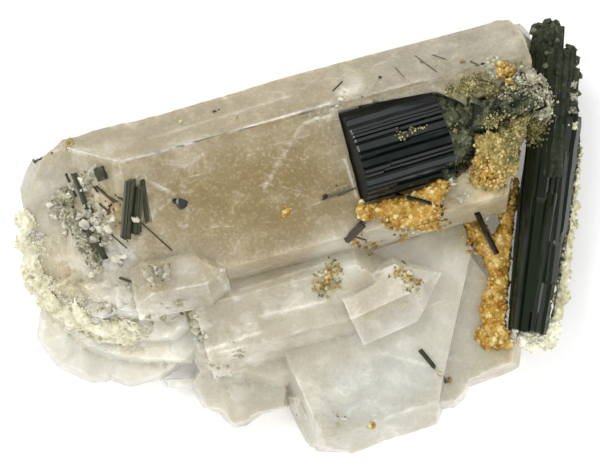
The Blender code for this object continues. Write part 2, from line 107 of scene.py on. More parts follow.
def spots(*rows):
    """Round spots in plan, given as (u, v, radius in pixels, strength), in metres."""
    return [(*in_plan(u, v), 1 / (radius * PIXEL) ** 2, strength) for u, v, radius, strength in rows]


def near(place, rows):
    """How strongly a place in plan lies in some round spots."""
    x, y, _ = place
    total = 0.0
    for middle_x, middle_y, tight, strength in rows:
        off = ((x - middle_x) ** 2 + (y - middle_y) ** 2) * tight
        if off < 5:
            total += strength * math.exp(-off)
    return total


class Wire:
    """An output socket of a material in the making. Arithmetic on it adds Math nodes."""

    def __init__(self, tree, socket=None):
        self.tree, self.socket = tree, socket

    def node(self, kind, settings=None, sockets=None, out=0):
        """Adds a node: its settings first, then values or wires on its sockets."""
        made = self.tree.nodes.new("ShaderNode" + kind)
        for key, value in (settings or {}).items():
            if key == "stops":
                ramp = made.color_ramp
                while len(ramp.elements) < len(value):
                    ramp.elements.new(0.5)
                for element, (position, colour) in zip(ramp.elements, value):
                    element.position = position
                    element.color = (*colour, 1.0) if len(colour) == 3 else colour
            else:
                setattr(made, key, value)
        for key, value in (sockets or {}).items():
            if isinstance(value, Wire):
                self.tree.links.new(value.socket, made.inputs[key])
            elif isinstance(value, tuple) and len(value) == 3 and made.inputs[key].type == "RGBA":
                made.inputs[key].default_value = (*value, 1.0)
            else:
                made.inputs[key].default_value = value
        return Wire(self.tree, made.outputs[out])

    def maths(self, operation, *values, clamp=False):
        return self.node("Math", {"operation": operation, "use_clamp": clamp}, dict(enumerate(values)))

    def __add__(self, other):
        return self.maths("ADD", self, other)

    def __sub__(self, other):
        return self.maths("SUBTRACT", self, other)

    def __rsub__(self, other):
        return self.maths("SUBTRACT", other, self)

    def __mul__(self, other):
        return self.maths("MULTIPLY", self, other)

    __radd__ = __add__
    __rmul__ = __mul__

    def held(self):
        """The same value, held between 0 and 1."""
        return self.maths("ADD", self, 0.0, clamp=True)

    def step(self, low, high):
        """0 below low and 1 above high, with a smooth rise between."""
        return self.node("MapRange", {"interpolation_type": "SMOOTHSTEP"},
                         {"Value": self, "From Min": low, "From Max": high})

    def blend(self, first, second):
        """The two colours mixed by this value."""
        return self.node("Mix", {"data_type": "RGBA"}, {"Factor": self, 6: first, 7: second}, out=2)

    def mapped(self, scale, turn=(0.0, 0.0, 0.0)):
        """This vector, stretched and then turned."""
        return self.node("Mapping", None, {"Vector": self, "Rotation": turn, "Scale": scale})

    def bump(self, strength, depth, under=None):
        """The normal of a relief with this height and a depth in mm, over the normal under it."""
        sockets = {"Strength": strength, "Distance": depth * MM, "Height": self}
        return self.node("Bump", None, {**sockets, "Normal": under} if under else sockets)

    def noise(self, scale, detail=4.0, rough=0.5, distort=0.0):
        """Noise along this vector."""
        return self.node("TexNoise", None, {"Vector": self, "Scale": scale, "Detail": detail,
                                            "Roughness": rough, "Distortion": distort})


def new_material(name):
    """A material's first wire, and its Material Output node."""
    material = bpy.data.materials.new(name)
    material.use_nodes = True
    tree = material.node_tree
    tree.nodes.clear()
    return material, Wire(tree), tree.nodes.new("ShaderNodeOutputMaterial")


def show(output, wire, socket="Surface"):
    wire.tree.links.new(wire.socket, output.inputs[socket])


def attribute(wire, name):
    return wire.node("Attribute", {"attribute_name": name}, out=2)


def glassy(normal, colour, roughness, ior, others=None):
    """A Principled surface with a normal, a colour, a roughness, an IOR, and the other sockets given."""
    return normal.node("BsdfPrincipled", None, {"Base Color": colour, "Roughness": roughness, "IOR": ior,
                                                "Normal": normal, **(others or {})})


# Ground that is broken or crumbly, ground stained by the crusts, the smoky middle of the long prism and painted
# shade on a facet that faces the window lamp, the paler crystals and painted light that lifts the shade in their
# crevices, the white cleavage veils inside them, the blue-grey quartz, and the olive dust round the elbaite, each
# as (u, v, radius, strength)
BROKEN = spots(
    (100, 215, 36, 0.9), (125, 240, 30, 0.8), (80, 250, 28, 0.7), (60, 300, 34, 0.8), (100, 325, 40, 0.9),
    (160, 345, 34, 0.8), (74, 190, 16, 0.5), (230, 375, 26, 0.7), (210, 395, 26, 0.5), (478, 90, 26, 0.6),
    (340, 105, 20, 0.3), (350, 245, 12, 0.4), (512, 45, 18, 0.4), (30, 240, 22, 0.6), (130, 300, 26, 0.5))
STAINED = spots(
    (36, 260, 22, 0.7), (56, 300, 26, 0.6), (90, 330, 30, 0.5), (135, 345, 26, 0.4), (478, 88, 24, 0.9),
    (100, 198, 20, 0.45), (122, 216, 18, 0.5), (88, 238, 20, 0.4), (70, 262, 20, 0.3), (510, 120, 24, 0.6),
    (500, 150, 34, 1.1), (480, 180, 24, 1.0), (505, 172, 14, 0.5), (410, 215, 34, 0.6), (480, 240, 26, 0.8),
    (500, 300, 26, 0.8), (505, 345, 22, 0.7), (330, 280, 16, 0.5), (408, 282, 12, 0.5), (288, 213, 8, 0.5))
# The smoky spots at (388, 290) and (362, 306) are painted shade on a facet that faces the window lamp
SMOKY_AND_SHADED = spots(
    (108, 203, 15, 1.0), (122, 214, 14, 0.8), (235, 210, 66, 0.9), (300, 165, 60, 0.7), (180, 190, 50, 0.35),
    (400, 210, 36, 0.35), (480, 110, 50, 0.5), (360, 190, 40, 0.5), (250, 245, 30, 0.3), (95, 232, 20, 0.5),
    (120, 256, 17, 0.7), (388, 290, 20, 0.6), (362, 306, 16, 0.5), (160, 284, 18, 0.4), (312, 236, 28, 0.6),
    (392, 222, 28, 0.5))
# The pale spots at (420, 255), (455, 300), (335, 258) and (235, 288) are partly painted light that lifts the shade
# in crevices, and the negative ones at (388, 288) and (362, 306) are painted shade on the facet that faces the
# window lamp
PALE_AND_PAINTED_LIGHT = spots(
    (90, 362, 62, 1.0), (40, 345, 30, 0.9), (160, 382, 40, 1.0), (150, 340, 50, 0.55), (235, 400, 40, 0.5),
    (36, 240, 30, 0.55), (330, 300, 60, 0.3), (260, 325, 50, 0.3), (390, 300, 40, 0.4), (370, 400, 90, 0.48),
    (440, 350, 60, 0.4), (420, 255, 34, 0.75), (455, 300, 40, 0.4), (382, 240, 22, 0.5), (335, 258, 24, 0.9),
    (235, 288, 24, 0.45), (388, 288, 22, -0.7), (362, 306, 18, -0.6), (158, 284, 22, -0.3), (186, 266, 16, 0.5),
    (285, 385, 20, 0.5), (110, 308, 24, 0.5), (460, 262, 20, 0.5), (122, 255, 18, -0.5), (40, 180, 26, 0.4),
    (188, 335, 18, 0.9))
VEILS = spots(
    (330, 106, 8, 0.45), (343, 93, 9, 0.6), (357, 87, 10, 0.4), (180, 150, 24, 0.2), (385, 375, 44, 0.2),
    (325, 395, 24, 0.3), (300, 290, 30, 0.2), (400, 295, 18, 0.12), (240, 345, 26, 0.4), (480, 195, 20, 0.4),
    (100, 150, 34, 0.35), (75, 270, 20, 0.3))
COOL = spots(
    (350, 400, 60, 0.7), (430, 370, 50, 0.5), (120, 258, 18, 1.0), (112, 262, 12, 0.6), (40, 185, 30, 0.4),
    (70, 375, 40, 0.3), (380, 400, 50, 0.4), (480, 55, 50, 0.5), (185, 290, 30, 0.4), (400, 65, 50, 0.3))
OLIVE = spots(
    (468, 92, 22, 1.3), (486, 94, 18, 1.0), (515, 110, 26, 0.6), (500, 120, 18, 0.5), (252, 221, 12, 0.22),
    (36, 155, 10, 0.4))
# The straight cracks and growth lines, and painted light lines, as (u, v, u, v, width, strength): the line from
# (303, 124) to (330, 116) is a painted highlight along a ledge, and the two from (121, 161) to (330, 104) are
# painted light over the shaded crease where the upper band meets the main face
SCARS_AND_LIGHT_LINES = [(in_plan(a, b), in_plan(c, d), 2 / (width * PIXEL), strength) for a, b, c, d, width, strength in (
    (300, 128, 263, 190, 2.2, 0.3), (303, 124, 330, 116, 2.6, 0.4), (345, 160, 356, 196, 3.0, 0.5),
    (138, 176, 174, 193, 2.0, 0.5), (175, 197, 149, 219, 2.0, 0.35), (188, 207, 187, 228, 2.0, 0.3),
    (205, 260, 236, 300, 2.5, 0.3), (240, 290, 330, 262, 3.0, 0.35), (60, 150, 120, 160, 2.5, 0.35),
    (121, 161, 214, 136, 2.2, 0.55), (214, 136, 330, 104, 2.4, 0.6), (150, 135, 290, 96, 2.0, 0.25),
    (452, 150, 510, 166, 2.5, 0.5), (320, 396, 372, 380, 2.5, 0.2), (262, 316, 330, 300, 3.0, 0.4),
    (200, 352, 262, 332, 3.0, 0.4), (376, 352, 430, 366, 2.5, 0.3))]


def on_scar_and_light_lines(place):
    """How strongly a place lies on one of the straight cracks, growth lines and painted light lines."""
    spot, most = Vector(place[:2]), 0.0
    for start, end, tight, strength in SCARS_AND_LIGHT_LINES:
        if (spot - (start + end) / 2).length > (end - start).length / 2 + 2 / tight:
            continue
        way = end - start
        share = max(0.0, min(1.0, (spot - start).dot(way) / way.length_squared))
        off = (spot - start - way * share).length * tight
        most = max(most, strength * math.exp(-off * off))
    return most


# Where the rim stands further out, or further in, than the flat faces of the solid
RIM = spots(
    (28, 166, 17, 1.5), (40, 152, 12, 0.9), (20, 185, 12, 0.8), (60, 375, 40, 0.5), (100, 382, 18, 0.9),
    (200, 405, 30, 0.5), (330, 450, 50, 0.4), (430, 425, 40, 0.3), (505, 368, 26, 0.5), (514, 26, 15, 1.3),
    (524, 40, 10, 1.0), (150, 112, 60, -1.0), (66, 138, 30, -0.85), (230, 92, 40, -0.4), (18, 216, 12, -0.8),
    (18, 242, 10, -0.8))


def quartz_grain(place):
    """The longest edge worth having there: short where the ground is broken or cracked."""
    detail = max(1.6 * near(place, BROKEN), 2.5 * on_scar_and_light_lines(place))
    return (0.60 + 1.2 * (1 - min(1.0, detail))) * MM


quartz_mesh = fine_copy("quartz_cluster", quartz_grain, (
    "black_crystal", "elbaite_edge_stub", "elbaite_left_blade", "elbaite_left_block", "elbaite_left_pair",
    "elbaite_left_rod", "elbaite_plate_needle", "elbaite_side_rod", "elbaite_upper_rod"))
# What varies over the quartz is kept on its points, and the material reads it from there
layers = {name: quartz_mesh.verts.layers.float.new(name)
          for name in ("broken", "stain", "smoke", "pale", "veil", "edge", "cool", "olive", "scar")}
pockets = []  # the boxes in plan round the elbaite, where an edge of the quartz is no worn edge
for name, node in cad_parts.items():
    if name.startswith(("elbaite", "black")):
        corners = [vert.co for vert in node.data.vertices]
        pockets.append([(min(co[axis] for co in corners) - MM, max(co[axis] for co in corners) + MM)
                        for axis in (0, 1)])
moves = []
for vert in quartz_mesh.verts:
    place = vert.co
    broken = min(1.0, near(place, BROKEN)) if vert.normal.z > -0.1 else 0.4
    broken = max(0.0, min(1.0, broken * (0.8 + 0.7 * noise.noise(place / (7 * MM)))))
    bend = max((edge.calc_face_angle(0.0) for edge in vert.link_edges), default=0.0)
    low_down = max(0.0, 1 - place.z / (9 * MM))
    vert[layers["broken"]] = broken
    vert[layers["stain"]] = min(1.0, near(place, STAINED) * (0.6 + 0.8 * noise.noise(place / (3 * MM))))
    # smoke: the smoky quartz, and painted shade on a facet that faces the window lamp
    vert[layers["smoke"]] = min(1.0, near(place, SMOKY_AND_SHADED))
    # pale: the paler crystals, painted light that lifts the shade in crevices, painted shade on the facet that
    # faces the window lamp, and paler the lower the point lies
    vert[layers["pale"]] = min(1.0, near(place, PALE_AND_PAINTED_LIGHT) + 0.25 * low_down)
    vert[layers["veil"]] = min(1.0, near(place, VEILS))
    beside = any(low < place.x < high and left < place.y < right for (low, high), (left, right) in pockets)
    vert[layers["edge"]] = 0.0 if beside else min(1.0, bend / 0.6)
    vert[layers["olive"]] = min(1.0, near(place, OLIVE) * (0.7 + noise.noise(place / (1.5 * MM))))
    # scar: the cracks and growth lines, and the painted highlight lines along a ledge and a crease
    vert[layers["scar"]] = on_scar_and_light_lines(place) if vert.normal.z > 0.3 else 0.0
    vert[layers["cool"]] = min(1.0, near(place, COOL))
    # Broken ground is cut back in small plates and curved hollows; sharp edges have a few nicks
    plates = noise.cell(place / (1.7 * MM)) * 0.5 + noise.cell(place / (3.3 * MM) + Vector((5, 1, 2))) * 0.5
    shells = abs(noise.noise(place / (4.0 * MM))) + 0.5 * abs(noise.noise(place / (1.5 * MM)))
    depth = broken * (0.8 * shells + 0.75 * plates) * (1.0 if vert.normal.z > 0.4 else 0.3)
    if bend > 0.3:
        depth += 0.8 * max(0.0, noise.noise(place / (1.6 * MM) + Vector((9, 0, 0))) - 0.22)
    aside = Vector((vert.normal.x, vert.normal.y, 0.0))
    move = vert.normal * depth - aside * near(place, RIM)
    if place.z > 0.05 * MM and move.length:
        moves.append((vert, move * MM))
for vert, move in moves:
    vert.co -= move
    vert.co.z = max(vert.co.z, 0.0)
quartz = finish_piece("quartz", quartz_mesh, sharp_degrees=14)

material, wire, output = new_material("milky_quartz")
ground = wire.node("TexCoord", out=3)
along = ground.mapped((1.0, 1.0, 1.0), turn=(0.0, 0.0, -AXIS_TURN))
broken, stain, smoke, pale, veil, edge, cool, olive, scar = (attribute(wire, name) for name in layers)
clouds = ground.noise(60.0, 4.0, 0.55, 0.6)
mist = ground.noise(190.0, 5.0, 0.6, 0.5)
grit = ground.noise(1500.0, 3.0, 0.7)
cracks = along.mapped((0.35, 1.0, 0.6), turn=(0.3, 0.2, 0.5))
cracks = cracks.node("TexVoronoi", {"feature": "DISTANCE_TO_EDGE"}, {"Vector": cracks, "Scale": 170.0})
cracks = (1 - cracks.step(0.0, 0.03)) * mist.step(0.5, 0.62)
scratch = along.mapped((0.12, 1.0, 1.0), turn=(0.0, 0.0, -0.35)).noise(1300.0, 2.0, 0.6).step(0.66, 0.76)
flecks = (ground.noise(2000.0, 2.0, 0.6).step(0.66, 0.76) * 0.6 + scratch * 0.7) * mist.step(0.44, 0.62)

GREY_QUARTZ, SMOKY_QUARTZ = (0.405, 0.350, 0.215), (0.262, 0.188, 0.060)
PALE_QUARTZ, COOL_QUARTZ, CLOUD = (0.745, 0.74, 0.665), (0.56, 0.61, 0.60), (0.60, 0.57, 0.45)
FLAW_WHITE, OCHRE, OLIVE_DUST = (0.93, 0.93, 0.90), (0.58, 0.44, 0.17), (0.155, 0.135, 0.04)
# Smoky and pale tones, which also carry painted shade on a facet that faces the window lamp and painted light that
# lifts the shade in crevices
tone = smoke.blend(GREY_QUARTZ, SMOKY_QUARTZ)
tone = pale.held().blend(tone, PALE_QUARTZ)
tone = (cool * 0.6).held().blend(tone, COOL_QUARTZ)
calm = 1 - 0.6 * pale.held()  # the pale crystals have fewer flaws
tone = (clouds.step(0.4, 0.75) * 0.25).blend(tone, CLOUD)
flaws = mist.step(0.5, 0.8) * 0.16 + cracks * 0.22 + flecks * 0.4 * calm + veil * mist.step(0.35, 0.65) * 0.8
tone = flaws.held().blend(tone, FLAW_WHITE)
# White along the cracks, and a painted highlight along the ledge and the crease lines
tone = (scar * mist.step(0.3, 0.5)).blend(tone, (0.94, 0.94, 0.90))
tone = (grit.step(0.5, 0.75) * 0.30 * calm).blend(tone, (0.13, 0.10, 0.05))
tone = (grit.step(0.5, 0.28) * 0.30 * calm).blend(tone, (0.86, 0.85, 0.80))
tone = (edge.step(0.45, 1.0) * 0.45 * mist.step(0.42, 0.62)).blend(tone, (0.96, 0.96, 0.94))
tone = (broken * mist.step(0.38, 0.65) * 0.4).held().blend(tone, (0.84, 0.82, 0.73))
tone = (broken * mist.step(0.62, 0.38) * 0.25).held().blend(tone, (0.40, 0.34, 0.22))
tone = (stain * 0.6).held().blend(tone, OCHRE)
tone = (olive * 0.8).held().blend(tone, OLIVE_DUST)

bump = along.mapped((1.0, 0.06, 0.25)).noise(1500.0, 3.0, 0.5).bump(0.12, 0.10)  # growth lines
bump = clouds.bump(0.25, 0.5, under=bump)
bump = (mist * (0.3 + broken) + grit * 0.12 * (0.4 + broken)).bump(0.30, 0.20, under=bump)
shine = (0.09 + 0.15 * mist + 0.20 * broken).held()

clear = glassy(bump, (0.98, 0.97, 0.95), shine, QUARTZ_IOR, {"Transmission Weight": 1.0})
lamp_ray = wire.node("LightPath", out=1)  # light reaches through the clear quartz without a hard shadow
clear = wire.node("MixShader", None, {0: lamp_ray, 1: clear, 2: wire.node("BsdfTransparent", None, {
    "Color": (0.92, 0.90, 0.84)})})
milk = glassy(bump, tone, shine, QUARTZ_IOR, {
    "Specular IOR Level": 0.38, "Subsurface Weight": 0.8, "Subsurface Radius": (6.0, 5.0, 3.6),
    "Subsurface Scale": 1.0 * MM})
milkiness = (0.34 + 0.16 * clouds.step(0.35, 0.7) + 0.12 * mist.step(0.4, 0.7) + 0.25 * broken + 0.4 * stain
             + 0.3 * veil + 0.5 * scar + 0.3 * flecks + 0.15 * smoke + 0.15 * pale).held()
show(output, wire.node("MixShader", None, {0: milkiness, 1: clear, 2: milk}))
show(output, wire.node("VolumeAbsorption", None, {"Color": (0.87, 0.79, 0.64), "Density": 26.0}), "Volume")
quartz.data.materials.append(material)
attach(quartz, "root")
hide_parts("quartz_cluster")

ABOVE_ALL = 0.1  # a height that nothing on the specimen reaches
tops = {}


def on_top(u, v, names=("quartz",)):
    """The place and normal of the highest of some pieces under a pixel, or None beside them."""
    x, y = in_plan(u, v)
    hits = []
    for name in names:
        if name not in tops:
            tops[name] = BVHTree.FromObject(bpy.data.objects[name], bpy.context.evaluated_depsgraph_get())
        hit = tops[name].ray_cast(Vector((x, y, ABOVE_ALL)), Vector((0, 0, -1)))
        if hit[0]:
            hits.append(hit[:2])
    return max(hits, key=lambda hit: hit[0].z) if hits else (None, None)


# The elbaite prisms: black-green tourmaline, grown in and through the quartz. Each is a rounded triangle
# in section with sharp ridges and grooves along its whole length, and a flat or broken end.
ELBAITE_IOR = 1.63


def fluted_prism(bm, start, end, radius, flutes, seed, rows=30, groove=0.05, taper=(), triangle=0.05, roll=0.0,
                 ragged=0.0, stops=0.35, foot=1.0, worn=0.0):
    """Adds a striated prism from start to end, as a grid of rows rolled up and closed at both ends.

    groove is the depth of the flutes as a share of the radius, and stops the share of the flutes that
    change height part way. taper lists (metres past the end, share of the radius) of a rough broken tip.
    triangle is how far the section leans from a circle to a triangle, and roll turns it about its axis.
    ragged is how far, in metres, the flutes end from each other, foot the share of the radius that is left
    at the end, and worn how rough the whole prism is. The UV map runs once round in u and along in v.
    """
    rng = random.Random(seed)
    start, end = Vector(start), Vector(end)
    axis = end - start
    widths = [rng.choice((0.6, 0.9, 1.2, 1.6)) * rng.uniform(0.85, 1.15) for _ in range(flutes)]
    profile, at = [], 0.0
    for flute, width in enumerate(widths):
        share = math.tau * width / sum(widths)
        top = groove * rng.uniform(-0.45, 0.45)
        cleft = -groove * rng.uniform(0.6, 1.3)
        change = groove * rng.uniform(-1.1, 0.5) if rng.random() < stops else 0.0
        flute_end = rng.uniform(-1, 1) * ragged
        where = rng.uniform(0.15, 0.9) * axis.length
        for share_in, height in ((0.0, cleft), (0.20, top), (0.76, top - groove * 0.15), (0.92, cleft)):
            profile.append((at + share_in * share, height, change, where, flute_end))
        at += share
    total = axis.length + (taper[-1][0] if taper else 0.0)
    extra = max(6, int(rows * (total / axis.length - 1) * 1.6)) if taper else 0
    uv = bm.loops.layers.uv.verify()
    rough_layer = bm.verts.layers.float.get("rough") or bm.verts.layers.float.new("rough")
    made = bmesh.ops.create_grid(bm, x_segments=len(profile), y_segments=rows + extra, size=1.0)
    column = {vert: round((vert.co.x + 1) / 2 * len(profile)) for vert in made["verts"]}
    row = {vert: round((vert.co.y + 1) / 2 * (rows + extra)) for vert in made["verts"]}
    for face in {face for vert in made["verts"] for face in vert.link_faces}:
        for loop in face.loops:
            high = min(row[loop.vert], rows) / rows * axis.length / MM
            loop[uv].uv = (column[loop.vert] / len(profile), high + max(0, row[loop.vert] - rows) * 0.5)
    for vert in made["verts"]:
        angle, height, change, where, flute_end = profile[column[vert] % len(profile)]
        along, rough, share = row[vert] / rows * axis.length, 0.0, 1.0
        if row[vert] > rows:
            past = (row[vert] - rows) / extra * (total - axis.length)
            along, rough = axis.length + past, 1.0
            low, low_share = 0.0, 0.93
            for high, high_share in taper:
                if past <= high:
                    share = low_share + (high_share - low_share) * (past - low) / (high - low)
                    break
                low, low_share = high, high_share
            blocks = Vector((math.cos(angle) * 3.1, math.sin(angle) * 3.1, along / (2.2 * MM) + seed))
            share *= 1 + 0.05 * noise.cell(blocks) + 0.05 * noise.noise(blocks * 2.3)
        if row[vert] in (0, rows) and not taper or row[vert] == 0:
            share = 0.975
        if not rough and foot < 1.0:
            share *= 1 - (1 - foot) * max(0.0, 2 * row[vert] / rows - 1)
        if along > where:
            height += change
        drift = noise.noise(Vector((column[vert] % len(profile) * 0.21, along / (4 * MM), seed))) * groove * 0.3
        reach = radius * share * (1 + triangle * math.cos(3 * (angle + roll)) + height * (1 - 0.7 * rough) + drift)
        if row[vert] >= rows - 1 and not taper:
            along += flute_end
        elif row[vert] <= 1:
            along -= flute_end * 0.7
        vert.co = Vector((reach * math.cos(angle), reach * math.sin(angle), along))
        vert[rough_layer] = max(worn, rough, 0.6 if row[vert] == 0 else 0.0)
    turned = Matrix.Translation(start) @ axis.to_track_quat("Z", "Y").to_matrix().to_4x4()
    bmesh.ops.transform(bm, matrix=turned @ Matrix.Rotation(roll, 4, "Z"), verts=made["verts"])
    bmesh.ops.remove_doubles(bm, verts=made["verts"], dist=0.0004 * MM)
    bmesh.ops.holes_fill(bm, edges=[edge for edge in bm.edges if edge.is_boundary])


def elbaite_material(name, dark, green, glint, across, roughness, specular=0.42):
    """Dark vitreous tourmaline whose colour and polish run in lines along the prism.

    Its colour goes from dark to green, with a painted glint on some lines, which on the duller green and olive
    prisms also stands for pale dust streaks. across is how many lines go round it.
    """
    material, wire, output = new_material(name)
    where = wire.node("UVMap", {"uv_map": "UVMap"})
    ground = wire.node("TexCoord", out=3)
    streak = where.mapped((across, 0.11, 1.0)).noise(1.0, 4.0, 0.6)
    broad = where.mapped((across * 0.2, 0.05, 1.0)).noise(1.0, 2.0)
    fine = where.mapped((across * 3, 0.05, 1.0)).noise(1.0, 3.0, 0.7)
    grit = ground.noise(1300.0, 4.0, 0.7)
    patch = ground.noise(420.0, 3.0, 0.6)
    rough = attribute(wire, "rough")
    tone = streak.step(0.48, 0.75).blend(dark, green)
    # A painted glint along some lines, standing for the lamps' highlights on the flutes, and on the duller prisms
    # for pale dust streaks too
    tone = (broad.step(0.50, 0.72) * streak.step(0.5, 0.62) * 0.6).blend(tone, glint)
    rugged = rough.step(0.6, 0.9)
    worn_green, dust = (0.080, 0.090, 0.050), (0.28, 0.28, 0.18)
    tone = (rugged * patch.step(0.3, 0.6)).blend(tone, worn_green)
    tone = (rugged * grit.step(0.48, 0.68) * 0.65).blend(tone, dust)
    bump = (fine * (1 - rough)).bump(0.25, 0.08)
    bump = (grit * (0.06 + rough)).bump(0.7, 0.3, under=bump)
    polish = (roughness + 0.12 * broad + 0.08 * grit + 0.4 * rough).held()
    bright = glassy(bump, tone, polish, ELBAITE_IOR, {"Specular IOR Level": specular})
    matt = glassy(bump, tone, 0.8, ELBAITE_IOR, {"Specular IOR Level": 0.08})
    show(output, wire.node("MixShader", None, {0: rough.held(), 1: bright, 2: matt}))
    return material


black_green = elbaite_material("black_green_elbaite", (0.003, 0.006, 0.005), (0.024, 0.041, 0.036),
                               (0.11, 0.15, 0.15), 70.0, 0.05)
deep_green = elbaite_material("deep_green_elbaite", (0.006, 0.010, 0.0035), (0.030, 0.041, 0.014),
                              (0.12, 0.15, 0.09), 60.0, 0.12, 0.30)
olive = elbaite_material("olive_elbaite", (0.024, 0.027, 0.009), (0.19, 0.18, 0.07),
                         (0.30, 0.29, 0.18), 26.0, 0.2)


def add_piece(name, bm, material, replaces=(), sharp_degrees=30, recalc=True):
    """Finishes a piece, gives it its material, and names the nodes that it stands for."""
    if recalc:
        bmesh.ops.recalc_face_normals(bm, faces=bm.faces[:])
    piece = finish_piece(name, bm, sharp_degrees)
    piece.data.materials.append(material)
    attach(piece, "root")
    if replaces:
        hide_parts(*replaces)


# The short thick prism starts at its flat end and dips as it goes to its broken tip
SHORT_DIP, SHORT_TURN = math.radians(-11), math.radians(16.7)
SHORT_LENGTH, SHORT_RADIUS = 18.8, 9.3  # in mm
short_way = Vector((math.cos(SHORT_DIP) * math.cos(SHORT_TURN), math.cos(SHORT_DIP) * math.sin(SHORT_TURN),
                    math.sin(SHORT_DIP)))
short_end = Vector((10.75, 15.4, 26.2)) * MM
short_mesh = bmesh.new()
fluted_prism(short_mesh, short_end, short_end + short_way * SHORT_LENGTH * MM, SHORT_RADIUS * MM, flutes=37,
             seed=7, rows=48, taper=((0.3 * MM, 0.84), (4.5 * MM, 0.70), (9.5 * MM, 0.40)),
             roll=math.radians(20), groove=0.05, stops=0.7)
add_piece("short_elbaite_prism", short_mesh, black_green, ["elbaite_short_prism"], sharp_degrees=22)

# The long prisms side by side, as (start, end and radius in mm, flutes, seed, share of the radius left at
# the end, wear)
LONG_PRISMS = (((51.67, 24.66, 14.13), (45.95, -18.9, 13.6), 5.25, 17, 11, 0.80, 0.0),
               ((49.75, 0.0, 12.4), (54.15, 34.2, 13.0), 3.0, 9, 12, 1.0, 0.70),
               ((49.95, 12.0, 15.2), (51.75, 37.8, 15.0), 4.3, 12, 13, 1.0, 0.68),
               ((47.35, 29.0, 14.0), (50.75, 42.4, 13.6), 3.2, 8, 14, 0.9, 0.7),
               ((51.55, 25.6, 15.4), (56.15, 26.4, 15.6), 1.5, 6, 15, 1.0, 0.3),
               ((50.15, 33.0, 13.4), (51.15, 42.2, 13.2), 3.3, 8, 16, 0.9, 0.72),
               ((46.6, -15.0, 15.6), (50.6, 9.0, 16.9), 2.2, 7, 17, 0.9, 0.0),
               ((49.6, -9.0, 14.6), (52.6, 17.0, 16.0), 2.5, 7, 18, 0.9, 0.0),
               ((46.9, 2.0, 16.2), (49.2, 26.0, 17.0), 2.2, 7, 19, 0.9, 0.5),
               ((55.2, 19.0, 13.4), (54.0, 37.8, 13.2), 1.9, 6, 20, 0.8, 0.5))
long_mesh = bmesh.new()
for start, end, radius, flutes, seed, foot, wear in LONG_PRISMS:
    fluted_prism(long_mesh, Vector(start) * MM, Vector(end) * MM, radius * MM, flutes, seed, rows=44, groove=0.10,
                 stops=0.7, ragged=0.35 * MM, foot=foot, worn=wear)
add_piece("long_elbaite_prisms", long_mesh, deep_green, ["elbaite_long_prism"], sharp_degrees=22)


# The small elbaite prisms in the left hollow: short olive-green splinters and rods, grown half sunk in the
# quartz. Each keeps the place and size of its own solid.
def along_node(node):
    """The middle, direction, half length and radius of a node that is a prism, from its points."""
    points = [vert.co.copy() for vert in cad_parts[node].data.vertices]
    low, high = max(((a, b) for a in points for b in points), key=lambda pair: (pair[0] - pair[1]).length)
    way = (high - low).normalized()
    middle = sum(points, Vector()) / len(points)
    half = max(abs((point - middle).dot(way)) for point in points)
    reach = max(((point - middle) - way * (point - middle).dot(way)).length for point in points)
    return middle, way, half, reach


for number, (node, width) in enumerate((("elbaite_left_blade", 0.34), ("elbaite_left_rod", 0.58))):
    middle, way, half, reach = along_node(node)
    splinter = bmesh.new()
    fluted_prism(splinter, middle - way * half * 0.97, middle + way * half * 0.97, reach * width, 7,
                 seed=40 + number, rows=14, groove=0.22, ragged=0.3 * MM, stops=0.6)
    add_piece(node + "_crystal", splinter, olive, [node])

middle, way, half, reach = along_node("elbaite_left_pair")
aside = way.cross(Vector((0, 0, 1))).normalized()
splinter = bmesh.new()
for number, (off, width, short) in enumerate(((-0.36, 0.48, 0.96), (0.44, 0.36, 0.80))):
    centre = middle + aside * off * reach
    fluted_prism(splinter, centre - way * half * short, centre + way * half * short, reach * width, 8,
                 seed=60 + number, rows=18, groove=0.2, ragged=0.35 * MM, stops=0.6)
add_piece("elbaite_left_pair_crystals", splinter, olive, ["elbaite_left_pair"])


# The broken elbaite: the blocks at the quartz's right end and the square stub in the left hollow. They are
# tourmaline grown in the quartz, with no full prism left, only fractures.
noise.seed_set(5)
for node, longest, depth in (("elbaite_end_blocks", 0.55, 1.1), ("elbaite_left_block", 0.4, 0.4)):
    block = fine_copy(node, lambda place, longest=longest: longest * MM)
    rough_layer = block.verts.layers.float.new("rough")
    block.loops.layers.uv.verify()
    moves = []
    for vert in block.verts:
        place = vert.co / MM
        vert[rough_layer] = (0.75 if node == "elbaite_end_blocks" else 0.3) + 0.5 * noise.noise(place / 2)
        steps = noise.cell(place / 1.3) * 0.5 + 0.5 + abs(noise.noise(place / 1.6))
        moves.append((vert, vert.normal * depth * MM * 0.6 * steps))
    for vert, move in moves:
        vert.co -= move
    add_piece(node + "_broken", block, deep_green if node == "elbaite_end_blocks" else olive, [node],
              sharp_degrees=16, recalc=False)


# The hair needles and splinters: thin green and brown tourmaline, lying on the quartz or grown into it. Each
# is given by its two ends in the photograph and its width, all in pixels.
def needle(bm, u0, v0, u1, v1, width, seed, lift=0.5, names=("quartz",)):
    """Adds a thin prism that lies on some pieces between two pixels, half sunk in them."""
    ends = []
    for u, v in ((u0, v0), (u1, v1)):
        place, normal = on_top(u, v, names)
        if place is None:
            return
        ends.append(place + Vector((0, 0, lift * width * PIXEL)))
    fluted_prism(bm, ends[0], ends[1], width * PIXEL / 2, 5, seed, rows=6, groove=0.2, ragged=0.2 * MM)


